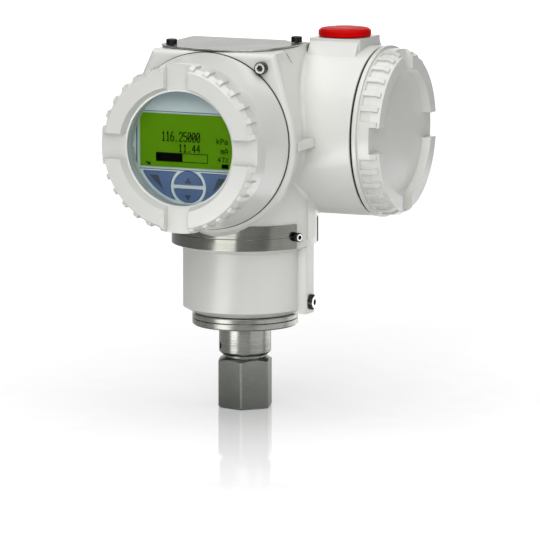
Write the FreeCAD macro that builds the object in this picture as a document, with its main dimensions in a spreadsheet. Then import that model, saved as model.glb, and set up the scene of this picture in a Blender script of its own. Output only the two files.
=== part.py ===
import FreeCAD, Part
import Sketcher
import math
import os

# Process pressure transmitter: a two compartment housing with a display on a
# stainless process fitting.  Millimetres.  Origin: centre of the mouth of the
# process thread at the foot of the hexagon.  +Z up along the fitting's axis,
# -Y out of the display window, +X out of the terminal cover.

V = FreeCAD.Vector
doc = FreeCAD.newDocument("pressure_transmitter")
sheet = doc.addObject("Spreadsheet::Sheet", "dims")

# ---------------------------------------------------------------- driving sizes
SIZES = [
    # process adapter (hexagon), 1/2-14 NPT female both ends
    ("hex_flats", 26.0), ("hex_corner_rad", 14.75), ("adapter_len", 26.0),
    ("npt_wall_rad", 9.55), ("npt_depth", 14.0),
    ("adapter_top_rad", 10.7),
    # process fitting
    ("nipple_rad", 10.65), ("nipple_foot", 15.0), ("stem_foot", 27.6),
    ("stem_rad", 13.55), ("stem_chamfer", 1.6), ("disc_foot", 43.5),
    ("disc_rad", 27.4), ("disc_top", 46.8), ("port_rad", 3.0),
    ("cavity_foot", 35.0), ("cavity_rad", 9.0), ("vent_rad", 1.75),
    ("vent_height", 32.4), ("vent_angle", 222.0),
    ("seal_rad", 26.7), ("seal_top", 47.2),
    # sensor base and spigot
    ("base_top", 50.0), ("spigot_rad", 19.0), ("spigot_wall", 3.5),
    ("spigot_top", 90.0), ("snap_height", 86.6),
    # neck of the housing
    ("skirt_foot", 50.3), ("skirt_foot_rad", 27.0), ("skirt_chamfer_top", 53.2),
    ("skirt_rad", 32.2), ("shoulder_foot", 84.2), ("neck_rad", 37.4),
    ("dome_height", 106.0), ("cast_fillet", 6.0), ("valley_fillet", 2.0), ("front_fillet", 3.0),
    ("pad_edge", 1.4), ("pad_slope", 6.0),
    ("swivel_bore_rad", 19.08),
    # tag bands
    ("band_foot", 86.6), ("band_split", 92.8), ("band_top", 99.4),
    ("band_rad", 38.05), ("band_wall", 0.6), ("band_gap_deg", 43.6),
    # display drum and box
    ("axis_height", 144.5), ("drum_rad", 48.6), ("front_face", 47.3),
    ("box_top", 190.0), ("box_right", 37.2), ("box_left", 31.5),
    ("box_depth", 62.0), ("drum_back_rad", 31.5), ("box_back_right", 30.4), ("box_back_left", 26.5),
    # terminal barrel
    ("barrel_offset", 25.0), ("barrel_rad", 44.0), ("barrel_left", 34.0),
    ("barrel_end", 66.0), ("terminal_bore_rad", 37.5), ("terminal_floor", 14.0),
    # rib
    ("rib_half", 5.0), ("rib_face", 36.9), ("rib_foot", 51.2),
    ("rib_step", 90.5), ("rib_face_upper", 37.7),
    # cable entry
    ("entry_x", 45.4), ("pad_side", 28.0), ("pad_top", 192.8),
    ("entry_rad", 9.5), ("plug_stem_rad", 9.42), ("plug_rad", 13.6),
    ("plug_gap", 0.3), ("plug_height", 4.4), ("plug_stem", 8.6),
    # screwed covers, measured along the cover's own axis from the back of its flange
    ("cover_thread_rad", 40.0), ("cover_bore_rad", 40.08), ("cover_thread_len", 9.5),
    ("cover_inner_rad", 35.6), ("rib_base_rad", 41.8), ("rib_top_rad", 42.9),
    ("ring_top_rad", 39.8), ("ring_rise", 4.4), ("notch_width", 13.0),
    ("block_width", 18.6), ("rib_width", 2.8), ("rib_len", 9.0),
    ("display_seam", 47.65), ("display_flange_rad", 45.1), ("display_face", 38.85),
    ("window_rad", 28.96), ("window_ring_rad", 31.55), ("glass_rad", 33.4),
    ("glass_thick", 8.0),
    ("terminal_seam", 67.2), ("terminal_flange_rad", 44.3), ("terminal_face", 13.4),
    ("terminal_disc_rad", 32.0), ("terminal_disc_foot", 5.6),
    # display module
    ("module_face", 68.0), ("module_rad", 33.5), ("lcd_left", 27.4),
    ("lcd_right", 29.6), ("lcd_foot", 133.2), ("lcd_head", 160.6),
    ("key_centre", 123.8), ("key_rad", 7.9), ("key_bar", 2.4), ("key_gap", 0.3),
    ("side_key_top", 131.0), ("side_key_rad", 28.4), ("side_key_inner", 10.0),
    # identification plate
    ("plate_foot", 190.3), ("plate_thick", 0.8),
    ("pivot_x", -25.0), ("pivot_y", -36.0), ("clamp_x", 29.0), ("clamp_y", 0.0),
    ("button_rad", 3.4), ("button_y", -14.0), ("zero_x", -15.0), ("span_x", -1.0),
    ("switch_x", 13.0),
    # screws
    ("lock_x", 30.4), ("lock_z", 183.1), ("lock_head_rad", 3.2), ("lock_head", 3.4),
    ("swivel_screw_z", 57.0), ("swivel_head_rad", 4.0), ("swivel_head", 2.4),
]
VAL = {}
for row, (name, value) in enumerate(SIZES, start=1):
    sheet.set("A%d" % row, name)
    sheet.set("B%d" % row, repr(float(value)))
    sheet.setAlias("B%d" % row, name)
    VAL[name] = float(value)
doc.recompute()


class Size:
    """A number together with the sheet expression that gives it."""

    def __init__(self, value, text):
        self.v = float(value)
        self.t = text

    def __add__(self, other):
        other = num(other)
        return Size(self.v + other.v, "(%s + %s)" % (self.t, other.t))

    def __sub__(self, other):
        other = num(other)
        return Size(self.v - other.v, "(%s - %s)" % (self.t, other.t))

    def __rsub__(self, other):
        return num(other) - self

    def __mul__(self, other):
        other = num(other)
        return Size(self.v * other.v, "(%s * %s)" % (self.t, other.t))

    def __truediv__(self, other):
        other = num(other)
        return Size(self.v / other.v, "(%s / %s)" % (self.t, other.t))

    def __neg__(self):
        return Size(-self.v, "(0 - %s)" % self.t)

    __radd__ = __add__
    __rmul__ = __mul__


def num(x):
    if isinstance(x, Size):
        return x
    return Size(x, "(%r)" % float(x) if x >= 0 else "(0 - %r)" % abs(float(x)))


def d(name):
    return Size(VAL[name], "dims." + name)


def polar(rad, deg):
    """A point at a radius and an angle, as two sizes."""
    rad, deg = num(rad), num(deg)
    a = math.radians(deg.v)
    return (Size(rad.v * math.cos(a), "(%s * cos(%s * 1 deg))" % (rad.t, deg.t)),
            Size(rad.v * math.sin(a), "(%s * sin(%s * 1 deg))" % (rad.t, deg.t)))


TURN = {"Z": FreeCAD.Rotation(),
        "-Z": FreeCAD.Rotation(V(1, 0, 0), 180),
        "X": FreeCAD.Rotation(V(0, 1, 0), 90),
        "-X": FreeCAD.Rotation(V(0, 1, 0), -90),
        "Y": FreeCAD.Rotation(V(1, 0, 0), -90),
        "-Y": FreeCAD.Rotation(V(1, 0, 0), 90)}
PARTS = []
TAG = [0]


def new(kind, stem):
    TAG[0] += 1
    return doc.addObject(kind, "%s_%03d" % (stem, TAG[0]))


def place(obj, pos, axis="Z", spin=0.0):
    """Put an object's local +Z along an axis, bound to the sheet."""
    pos = [num(p) for p in pos]
    rot = TURN[axis] if isinstance(axis, str) else axis
    if spin:
        rot = rot.multiply(FreeCAD.Rotation(V(0, 0, 1), spin))
    obj.Placement = FreeCAD.Placement(V(*[p.v for p in pos]), rot)
    for k, p in zip("xyz", pos):
        if "dims." in p.t:
            obj.setExpression("Placement.Base." + k, p.t)
    return obj


def bind(obj, prop, size):
    size = num(size)
    setattr(obj, prop, size.v)
    if "dims." in size.t:
        obj.setExpression(prop, size.t)


def cyl(rad, length, pos=(0, 0, 0), axis="Z"):
    o = new("Part::Cylinder", "cyl")
    bind(o, "Radius", rad)
    bind(o, "Height", length)
    return place(o, pos, axis)


def cone(r_low, r_high, length, pos=(0, 0, 0), axis="Z"):
    o = new("Part::Cone", "cone")
    bind(o, "Radius1", r_low)
    bind(o, "Radius2", r_high)
    bind(o, "Height", length)
    return place(o, pos, axis)


def torus(major, minor, pos=(0, 0, 0), axis="Z"):
    o = new("Part::Torus", "ring")
    bind(o, "Radius1", major)
    bind(o, "Radius2", minor)
    return place(o, pos, axis)


def prism(circum, length, pos, axis="Z", spin=0.0, sides=6):
    o = new("Part::Prism", "prism")
    o.Polygon = sides
    bind(o, "Circumradius", circum)
    bind(o, "Height", length)
    return place(o, pos, axis, spin)


def box(x0, x1, y0, y1, z0, z1):
    """A box between two corners."""
    x0, x1, y0, y1, z0, z1 = [num(a) for a in (x0, x1, y0, y1, z0, z1)]
    o = new("Part::Box", "box")
    bind(o, "Length", x1 - x0)
    bind(o, "Width", y1 - y0)
    bind(o, "Height", z1 - z0)
    return place(o, (x0, y0, z0))


def fuse(*objs):
    o = new("Part::MultiFuse", "fuse")
    o.Shapes = list(objs)
    o.Refine = True
    return o


def cut(base, *tools):
    o = new("Part::Cut", "cut")
    o.Base = base
    o.Tool = tools[0] if len(tools) == 1 else fuse(*tools)
    o.Refine = True
    return o


def fuse_chain(*objs):
    """Union of pieces that cross each other, taken one after the other."""
    whole = objs[0]
    for piece in objs[1:]:
        o = new("Part::Fuse", "union")
        o.Base = whole
        o.Tool = piece
        o.Refine = piece is objs[-1]
        whole = o
    return whole


def cut_chain(base, *tools):
    """Cuts taken one after the other."""
    for tool in tools:
        o = new("Part::Cut", "machined")
        o.Base = base
        o.Tool = tool
        o.Refine = False
        base = o
    return base


def common(a, b):
    o = new("Part::MultiCommon", "common")
    o.Shapes = [a, b]
    o.Refine = True
    return o


def group(*objs):
    o = new("Part::Compound", "group")
    o.Links = list(objs)
    return o


def part(label, obj):
    obj.Label = label
    PARTS.append(obj)
    return obj


def role(body, name):
    return [f for f in body.Origin.OriginFeatures if f.Role == name][0]


def sketch(body, plane, points, lift=0.0):
    """A closed polygon whose corners are dimensioned from the sketch origin."""
    sk = body.newObject("Sketcher::SketchObject", "sketch")
    sk.AttachmentSupport = [(role(body, plane), "")]
    sk.MapMode = "FlatFace"
    if lift:
        lift = num(lift)
        sk.AttachmentOffset = FreeCAD.Placement(V(0, 0, lift.v), FreeCAD.Rotation())
        if "dims." in lift.t:
            sk.setExpression("AttachmentOffset.Base.z", lift.t)
    pts = [(num(a), num(b)) for a, b in points]
    n = len(pts)
    for i in range(n):
        a, b = pts[i], pts[(i + 1) % n]
        sk.addGeometry(Part.LineSegment(V(a[0].v, a[1].v, 0), V(b[0].v, b[1].v, 0)), False)
    for i in range(n):
        sk.addConstraint(Sketcher.Constraint("Coincident", i, 2, (i + 1) % n, 1))
    for i, (a, b) in enumerate(pts):
        for kind, s, line in (("DistanceX", a, -2), ("DistanceY", b, -1)):
            if abs(s.v) < 1e-9:
                sk.addConstraint(Sketcher.Constraint("PointOnObject", i, 1, line))
            elif s.v > 0:
                c = sk.addConstraint(Sketcher.Constraint(kind, -1, 1, i, 1, s.v))
                if "dims." in s.t:
                    sk.setExpression("Constraints[%d]" % c, s.t)
            else:
                c = sk.addConstraint(Sketcher.Constraint(kind, i, 1, -1, 1, -s.v))
                if "dims." in s.t:
                    sk.setExpression("Constraints[%d]" % c, (-s).t)
    return sk


def turned(points, pos=(0, 0, 0), axis="Z"):
    """A PartDesign body turned from (radius, height) points about its own Z."""
    body = new("PartDesign::Body", "turned")
    sk = sketch(body, "XZ_Plane", points)
    rev = body.newObject("PartDesign::Revolution", "revolution")
    rev.Profile = sk
    rev.ReferenceAxis = (sk, ["V_Axis"])
    rev.Angle = 360.0
    place(body, pos, axis)
    return body


def plate(points, thick, pos=(0, 0, 0), axis="Z", spin=0.0):
    """A PartDesign body padded from an outline in its own XY plane."""
    body = new("PartDesign::Body", "plate")
    sk = sketch(body, "XY_Plane", points)
    pad = body.newObject("PartDesign::Pad", "pad")
    pad.Profile = sk
    bind(pad, "Length", thick)
    place(body, pos, axis, spin)
    return body


def both_sides(feature):
    if hasattr(feature, "SideType"):
        feature.SideType = "Symmetric"
    else:
        feature.Midplane = True


def around(body, feature, count, angle=360.0):
    p = body.newObject("PartDesign::PolarPattern", "around")
    p.Originals = [feature]
    p.Axis = (role(body, "Z_Axis"), [""])
    p.Angle = angle
    p.Occurrences = count
    body.Tip = p
    return p


def socket_screw(pos, axis, head_rad, head, shank_rad, shank, key, key_depth, bevel=0.35):
    """A cap screw: pos is under the head, axis points out of the head."""
    body = new("PartDesign::Body", "screw")
    h, r = num(head), num(head_rad)
    sk = sketch(body, "XZ_Plane", [(0, -num(shank)), (shank_rad, -num(shank)), (shank_rad, 0),
                                   (r, 0), (r, h - bevel), (r - bevel, h), (0, h)])
    rev = body.newObject("PartDesign::Revolution", "revolution")
    rev.Profile = sk
    rev.ReferenceAxis = (sk, ["V_Axis"])
    rev.Angle = 360.0
    k = num(key) / 1.7320508
    hexagon = [(k * c, k * s) for c, s in
               [(1.0, 0.0), (0.5, 0.8660254), (-0.5, 0.8660254), (-1.0, 0.0), (-0.5, -0.8660254), (0.5, -0.8660254)]]
    sk2 = sketch(body, "XY_Plane", hexagon, h)
    poc = body.newObject("PartDesign::Pocket", "socket")
    poc.Profile = sk2
    poc.Length = num(key_depth).v
    doc.recompute()
    if body.Shape.Volume > rev.Shape.Volume - 0.01:
        poc.Reversed = True
    place(body, pos, axis)
    return body


# ---------------------------------------------------------------- sensor side
c = d("hex_flats") / 1.7320508
hexagon = prism(c, d("adapter_len"), (0, 0, 0), "Z", -15.0)
al = d("adapter_len")
# turned ends and slightly rounded corners of the bar
envelope = turned([(0, 0), (d("hex_corner_rad") - 1.0, 0), (d("hex_corner_rad"), 0.7),
                   (d("hex_corner_rad"), al - 1.6), (12.3, al), (0, al)])
bore = turned([(0, -1), (d("npt_wall_rad"), -1), (d("npt_wall_rad"), d("npt_depth")), (d("adapter_top_rad"), d("npt_depth") + 0.8),
               (d("adapter_top_rad"), al + 1), (0, al + 1)])
part("process_adapter", cut(common(hexagon, envelope), bore))

sf, sr, sc = d("stem_foot"), d("stem_rad"), d("stem_chamfer")
fitting = turned([(d("port_rad"), d("nipple_foot")), (d("nipple_rad") - 0.8, d("nipple_foot")),
                  (d("nipple_rad"), d("nipple_foot") + 0.8),
                  (d("nipple_rad"), sf), (sr - sc, sf), (sr, sf + sc), (sr, d("disc_foot")),
                  (d("disc_rad") - 0.7, d("disc_foot")), (d("disc_rad"), d("disc_foot") + 0.7),
                  (d("disc_rad"), d("disc_top")), (d("cavity_rad"), d("disc_top")),
                  (d("cavity_rad"), d("cavity_foot")), (d("port_rad"), d("cavity_foot"))])
vent_dir = FreeCAD.Rotation(V(0, 0, 1), VAL["vent_angle"]).multiply(TURN["X"])
vent = cyl(d("vent_rad"), 10.0)
vx, vy = polar(7.0, d("vent_angle"))
place(vent, (vx, vy, d("vent_height")), vent_dir)
vent_floor = cyl(d("vent_rad"), 3.2)
vx, vy = polar(d("stem_rad") - 3.0, d("vent_angle"))
place(vent_floor, (vx, vy, d("vent_height")), vent_dir)
part("process_fitting", cut(fitting, vent_floor))

part("flange_seal", turned([(21.0, d("disc_top")), (d("seal_rad"), d("disc_top")),
                            (d("seal_rad"), d("seal_top")), (21.0, d("seal_top"))]))

si = d("spigot_rad") - d("spigot_wall")
part("sensor_base", turned([
    (9.6, d("seal_top")), (d("disc_rad"), d("seal_top")), (d("disc_rad"), d("base_top") - 0.6),
    (d("disc_rad") - 0.6, d("base_top")), (d("spigot_rad"), d("base_top")),
    (d("spigot_rad"), 61.0), (d("spigot_rad") - 1.6, 61.0), (d("spigot_rad") - 1.6, 63.0),
    (d("spigot_rad"), 63.0),
    (d("spigot_rad"), d("snap_height")), (d("spigot_rad") - 1.4, d("snap_height")),
    (d("spigot_rad") - 1.4, d("snap_height") + 1.3), (d("spigot_rad"), d("snap_height") + 1.3),
    (d("spigot_rad"), d("spigot_top") - 0.8), (d("spigot_rad") - 0.8, d("spigot_top")),
    (si, d("spigot_top")), (si, 56.0), (9.6, 56.0)]))
part("spigot_o_ring", turned([(d("spigot_rad") - 1.55, 61.1), (d("spigot_rad") + 0.4, 61.1),
                              (d("spigot_rad") + 0.4, 62.9), (d("spigot_rad") - 1.55, 62.9)]))
snap = turned([(d("spigot_rad") - 1.35, d("snap_height") + 0.1), (d("spigot_rad") + 2.2, d("snap_height") + 0.1),
               (d("spigot_rad") + 2.2, d("snap_height") + 1.2), (d("spigot_rad") - 1.35, d("snap_height") + 1.2)])
part("retaining_ring", cut(snap, box(-25.0, 0.0, -2.5, 2.5, 80.0, 95.0)))
part("isolating_diaphragm", cyl(8.6, 0.3, (0, 0, d("cavity_foot"))))
part("sensor_capsule", turned([(0, 35.6), (8.7, 35.6), (8.7, 44.5), (7.4, 45.4), (7.4, 49.0), (0, 49.0)]))
pins = [cyl(0.5, 7.0, (x, y, 49.0)) for x, y in ((3.2, 0), (-3.2, 0), (0, 3.2), (0, -3.2))]
header = cyl(6.2, 2.0, (0, 0, 49.0))
part("sensor_header", fuse(header, *pins))
board = cut(cyl(14.6, 1.6, (0, 0, 57.0)), *[cyl(0.8, 4.0, (x, y, 56.0)) for x, y in ((3.2, 0), (-3.2, 0), (0, 3.2), (0, -3.2))])
part("sensor_board", fuse(board, box(-5.0, 5.0, 6.0, 11.0, 58.6, 62.0), box(-8.5, -1.0, -10.0, -3.0, 58.6, 60.2),
                          box(2.0, 8.0, -9.0, -4.0, 58.6, 60.0)))

# ---------------------------------------------------------------- housing casting
ah, bo = d("axis_height"), d("barrel_offset")
ff, dr = d("front_face"), d("drum_rad")
neck = turned([(0, d("skirt_foot")), (d("skirt_foot_rad"), d("skirt_foot")),
               (d("skirt_rad"), d("skirt_chamfer_top")), (d("skirt_rad"), d("shoulder_foot")),
               (d("neck_rad"), d("shoulder_foot") + 2.4), (d("neck_rad"), d("dome_height")),
               (0, d("dome_height"))])


def drum_profile(depth, rad, right, left):
    """Round drum about the display axis with a crown on top whose sides leave it tangentially."""
    sk = new("Sketcher::SketchObject", "drum_profile")
    r, x1, x0 = num(rad), num(right), num(left)
    top = d("box_top") - ah

    def touch(x, sign):
        return math.atan2(top.v, x) - sign * math.acos(r.v / math.hypot(x, top.v))

    a0, a1 = touch(x1.v, 1.0), touch(-x0.v, -1.0)
    tr = V(r.v * math.cos(a0), r.v * math.sin(a0), 0)
    tl = V(r.v * math.cos(a1), r.v * math.sin(a1), 0)
    cr, cl = V(x1.v, top.v, 0), V(-x0.v, top.v, 0)
    sk.addGeometry(Part.ArcOfCircle(Part.Circle(V(0, 0, 0), V(0, 0, 1), r.v), a1, a0 + 2 * math.pi), False)
    sk.addGeometry(Part.LineSegment(tr, cr), False)
    sk.addGeometry(Part.LineSegment(cr, cl), False)
    sk.addGeometry(Part.LineSegment(cl, tl), False)
    sk.addConstraint(Sketcher.Constraint("Coincident", 0, 3, -1, 1))
    c = sk.addConstraint(Sketcher.Constraint("Radius", 0, r.v))
    sk.setExpression("Constraints[%d]" % c, r.t)
    sk.addConstraint(Sketcher.Constraint("Coincident", 1, 2, 2, 1))
    sk.addConstraint(Sketcher.Constraint("Coincident", 2, 2, 3, 1))
    sk.addConstraint(Sketcher.Constraint("Tangent", 0, 2, 1, 1))
    sk.addConstraint(Sketcher.Constraint("Tangent", 3, 2, 0, 1))
    for geo, kind, size in ((2, "DistanceX", x1), (2, "DistanceY", top), (3, "DistanceY", top)):
        c = sk.addConstraint(Sketcher.Constraint(kind, -1, 1, geo, 1, size.v))
        sk.setExpression("Constraints[%d]" % c, size.t)
    c = sk.addConstraint(Sketcher.Constraint("DistanceX", 3, 1, -1, 1, x0.v))
    sk.setExpression("Constraints[%d]" % c, x0.t)
    return place(sk, (0, depth, ah), "-Y")


def kind(edge):
    try:
        return edge.Curve.__class__.__name__
    except TypeError:
        return ""


def extent(edge):
    b = edge.BoundBox
    return b.XMin, b.XMax, b.YMin, b.YMax, b.ZMin, b.ZMax


def rounded(base, radius, pick, count):
    """Round the edges that pick() takes; count guards against taking others."""
    doc.recompute()
    size = num(radius)
    numbers = [i for i, e in enumerate(base.Shape.Edges, start=1) if pick(e, *extent(e))]
    if len(numbers) != count:
        raise RuntimeError("%s: %d edges instead of %d" % (base.Name, len(numbers), count))
    o = new("Part::Fillet", "rounded")
    o.Base = base
    o.Edges = [(i, size.v, size.v) for i in numbers]
    return o


def lofted(*profiles):
    o = new("Part::Loft", "lofted")
    o.Sections = list(profiles)
    o.Solid = True
    o.Ruled = True
    return o


drum = lofted(drum_profile(-ff, dr, d("box_right"), d("box_left")),
              drum_profile(d("box_depth") - ff, d("drum_back_rad"), d("box_back_right"), d("box_back_left")))
place(neck, (0, 0, 0), "Z", 180.0)
dome = new("Part::Sphere", "dome")
bind(dome, "Radius", d("neck_rad"))
place(dome, (0, 0, d("dome_height")), "Z", 180.0)
barrel = cyl(d("barrel_rad"), d("barrel_left") + d("barrel_end") - 4.0)
place(barrel, (4.0 - d("barrel_left"), bo, ah), "X", 90.0)
barrel_back = cone(d("barrel_rad") - 4.0, d("barrel_rad"), 4.0)
place(barrel_back, (-d("barrel_left"), bo, ah), "X", 90.0)
rib = box(25.0, d("rib_face"), -d("rib_half"), d("rib_half"), d("rib_foot"), 112.0)
rib_upper = box(25.0, d("rib_face_upper"), -d("rib_half"), d("rib_half"), d("rib_step"), 112.0)
ps = d("pad_side") / 2.0
pad_block = box(d("entry_x") - ps, d("entry_x") + ps, bo - ps, bo + ps, 180.0, d("pad_top"))
# sloping foot in front of and behind the square entry pad
foot_top = d("pad_top") - d("pad_edge")
fs = ps + d("pad_slope")
pad_foot = plate([(-foot_top, bo - ps), (-182.5, bo - fs), (-182.5, bo + fs), (-foot_top, bo + ps)],
                 d("pad_side") - 1.2, (d("entry_x") - ps + 0.6, 0, 0), "X")
lug = box(37.5, 47.3, -41.5, -15.0, 140.6, 144.8)
pad_block = rounded(pad_block, 0.8, lambda e, x0, x1, y0, y1, z0, z1: x1 - x0 < 0.01 and y1 - y0 < 0.01, 4)
core = fuse_chain(fuse(neck, dome), drum, fuse(barrel, barrel_back))
# cast fillets: drum to neck, then drum to barrel
core = rounded(core, d("cast_fillet"), lambda e, x0, x1, y0, y1, z0, z1: kind(e) == "BSplineCurve" and
               abs(x0 + x1) < 0.5 and y0 < -37.3 and 40.0 < e.Length < 60.0 and z1 < 110.0, 1)
core = rounded(core, d("valley_fillet"), lambda e, x0, x1, y0, y1, z0, z1: kind(e) == "BSplineCurve" and
               186.0 < z1 < 188.5 and x0 > 25.0 and 30.0 < e.Length < 70.0, 1)
outer = fuse_chain(core, pad_foot, pad_block, rib, rib_upper, lug)
outer = rounded(outer, d("front_fillet"), lambda e, x0, x1, y0, y1, z0, z1: y1 < 0.01 - ff.v, 4)
outer = rounded(outer, 0.8, lambda e, x0, x1, y0, y1, z0, z1: kind(e) == "Line" and e.Length > 30.0 and
                abs(abs(y0) - d("rib_half").v) < 0.01 and abs(x1 - d("rib_face").v) < 0.05, 2)
outer = rounded(outer, 0.6, lambda e, x0, x1, y0, y1, z0, z1: x0 > d("barrel_end").v - 0.01, 1)

cm = d("cover_bore_rad")
display_mouth = turned([(0, -1), (43.6, -1), (43.6, 0), (cm, 43.6 - cm), (cm, 12.0), (38.0, 12.0),
                        (38.0, 30.0), (0, 30.0)], (0, -ff, ah), "Y")
terminal_mouth = turned([(0, -1), (43.0, -1), (43.0, 0), (cm, 43.0 - cm), (cm, 12.0),
                         (d("terminal_bore_rad"), 12.0),
                         (d("terminal_bore_rad"), d("barrel_end") - d("terminal_floor")),
                         (0, d("barrel_end") - d("terminal_floor"))], (d("barrel_end"), bo, ah), "-X")
back_pocket = box(-28.0, 8.0, -20.0, 34.0, 118.0, 172.0)
swivel_bore = turned([(0, 49.0), (d("swivel_bore_rad"), 49.0), (d("swivel_bore_rad"), 60.0), (27.0, 60.6),
                      (27.0, 81.0), (d("swivel_bore_rad"), 81.6), (d("swivel_bore_rad"), 86.0),
                      (23.0, 86.0), (23.0, 95.0), (9.0, 95.0), (9.0, 122.0), (0, 122.0)])
# room for the tag band where the drum hangs down in front of the neck
band_room = cut(cyl(d("band_rad") + 0.5, d("band_top") - d("band_foot") + 0.5, (0, 0, d("band_foot") - 0.2)),
                cyl(d("neck_rad"), 30.0, (0, 0, 80.0)), box(20.0, 45.0, -d("rib_half"), d("rib_half"), 80.0, 105.0))
entry_bore = cyl(d("entry_rad"), 16.0, (d("entry_x"), bo, d("pad_top") + 1.0 - 16.0))
swivel_hole = cyl(2.55, 30.0, (16.0, 0, d("swivel_screw_z")), "X")
lock_hole = cyl(2.0, 12.0, (d("lock_x"), -ff - 0.5, d("lock_z")), "Y")
bt, by = d("box_top"), d("button_y")
button_holes = []
for x in ("zero_x", "span_x", "switch_x"):
    button_holes += [cyl(d("button_rad") + 0.3, 9.0, (d(x), by, bt - 9.0)),
                     cyl(d("button_rad") + 1.6, 2.0, (d(x), by, bt - 1.0))]
plate_holes = [cyl(1.25, 9.0, (d("pivot_x"), d("pivot_y"), bt - 8.0)),
               cyl(1.25, 9.0, (d("clamp_x"), d("clamp_y"), bt - 8.0))]
band_hole = cyl(1.05, 6.0)
screw_deg = -23.5
bx, byy = polar(33.0, screw_deg)
place(band_hole, (bx, byy, 92.8), FreeCAD.Rotation(V(0, 0, 1), screw_deg).multiply(TURN["X"]))
feed_hole = cyl(6.1, 10.0, (6.0, 18.0, 144.5), "X")
ground_hole = cyl(2.05, 8.0, (8.0, 25.0, 116.0), "X")
block_holes = [cyl(1.55, 9.0, (9.0, 25.0 + y, 144.5), "X") for y in (-24.0, 24.0)]
post_holes = [cyl(1.25, 6.0, (x, -18.5, z), "Y") for x, z in ((-30.0, 157.0), (30.0, 157.0), (-30.0, 132.0), (30.0, 132.0))]
housing = cut_chain(outer, display_mouth, terminal_mouth, back_pocket, swivel_bore, band_room, entry_bore,
              swivel_hole, lock_hole, band_hole, feed_hole, ground_hole,
              *(button_holes + plate_holes + block_holes + post_holes))
part("housing", housing)

# screws of the housing
part("swivel_lock_screw", socket_screw((d("rib_face"), 0, d("swivel_screw_z")), "X", d("swivel_head_rad"),
                                       d("swivel_head"), 2.5, d("rib_face") - d("spigot_rad") - 0.5, 3.0, 1.9, 0.9))
part("cover_lock_screw", socket_screw((d("lock_x"), -ff, d("lock_z")), "-Y", d("lock_head_rad"),
                                      d("lock_head"), 1.95, 10.0, 3.0, 2.0))
part("plate_screws", group(
    socket_screw((d("pivot_x"), d("pivot_y"), d("plate_foot") + d("plate_thick") + 0.3), "Z", 2.8, 3.0, 1.2, 8.0, 2.5, 1.6),
    socket_screw((d("clamp_x"), d("clamp_y"), d("plate_foot") + d("plate_thick") + 0.3), "Z", 2.8, 3.0, 1.2, 8.0, 2.5, 1.6)))

# ---------------------------------------------------------------- tag bands
half_gap = VAL["band_gap_deg"] / 2.0


def band(z0, z1):
    ring = turned([(d("band_rad") - d("band_wall"), z0), (d("band_rad"), z0), (d("band_rad"), z1), (d("band_rad") - d("band_wall"), z1)])
    gap = plate([(0.0, 0.0), polar(60.0, -half_gap), polar(60.0, half_gap)], 30.0, (0, 0, 80.0))
    notch = cyl(1.35, 8.0)
    place(notch, (*polar(34.0, screw_deg), 92.8), FreeCAD.Rotation(V(0, 0, 1), screw_deg).multiply(TURN["X"]))
    return cut(ring, gap, notch)


part("tag_band", band(d("band_foot"), d("band_split") - 0.1))
part("tag_plate", band(d("band_split") + 0.1, d("band_top")))
screw_turn = FreeCAD.Rotation(V(0, 0, 1), screw_deg).multiply(TURN["X"])
bx, byy = polar(d("band_rad") + 0.9, screw_deg)
bs = socket_screw((0, 0, 0), "Z", 2.4, 2.4, 1.0, 5.0, 2.0, 1.3)
place(bs, (bx, byy, 92.8), screw_turn)
part("band_screw", bs)

# ---------------------------------------------------------------- covers
def cover(pos, axis, flange_rad, rim, skirt_top, face, inner):
    """A screwed cover: threaded spigot, flange, grip ribs, four tool notches in a raised ring."""
    body = new("PartDesign::Body", "cover")
    fl = face - d("ring_rise")
    rb, rt = d("rib_base_rad"), d("rib_top_rad")
    outer_pts = [(d("cover_inner_rad"), -d("cover_thread_len")), (d("cover_thread_rad") - 0.8, -d("cover_thread_len")),
                 (d("cover_thread_rad"), 0.8 - d("cover_thread_len")), (d("cover_thread_rad"), 0),
                 (flange_rad - 0.4, 0), (flange_rad, 0.4), (flange_rad, rim), (rb, skirt_top), (rb, fl),
                 (d("ring_top_rad"), face)]
    sk = sketch(body, "XZ_Plane", outer_pts + inner)
    rev = body.newObject("PartDesign::Revolution", "revolution")
    rev.Profile = sk
    rev.ReferenceAxis = (sk, ["V_Axis"])
    rev.Angle = 360.0
    rib_sk = sketch(body, "XZ_Plane", [(39.0, face - 1.2 - d("rib_len")), (rt, face - 1.2 - d("rib_len")),
                                       (rt, fl + 0.6), (rt - 1.5, face - 1.2), (39.0, face - 1.2)])
    rib_pad = body.newObject("PartDesign::Pad", "grip_rib")
    rib_pad.Profile = rib_sk
    bind(rib_pad, "Length", d("rib_width"))
    both_sides(rib_pad)
    around(body, rib_pad, 32)
    block_sk = sketch(body, "XZ_Plane", [(39.0, face - 1.2 - d("rib_len")), (rt, face - 1.2 - d("rib_len")),
                                         (rt, fl), (39.0, fl)])
    block = body.newObject("PartDesign::Pad", "block")
    block.Profile = block_sk
    bind(block, "Length", d("block_width"))
    both_sides(block)
    around(body, block, 4)
    notch_sk = sketch(body, "XZ_Plane", [(25.0, fl), (50.0, fl), (50.0, face + 2.0), (25.0, face + 2.0)])
    notch = body.newObject("PartDesign::Pocket", "notch")
    notch.Profile = notch_sk
    bind(notch, "Length", d("notch_width"))
    both_sides(notch)
    around(body, notch, 4)
    trim_sk = sketch(body, "XZ_Plane", [(rt, face - 2.0 - d("rib_len")), (52.0, face - 2.0 - d("rib_len")),
                                        (52.0, face + 3.0), (rt, face + 3.0)])
    trim = body.newObject("PartDesign::Groove", "trim")
    trim.Profile = trim_sk
    trim.ReferenceAxis = (trim_sk, ["V_Axis"])
    trim.Angle = 360.0
    body.Tip = trim
    return place(body, pos, axis)


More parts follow.
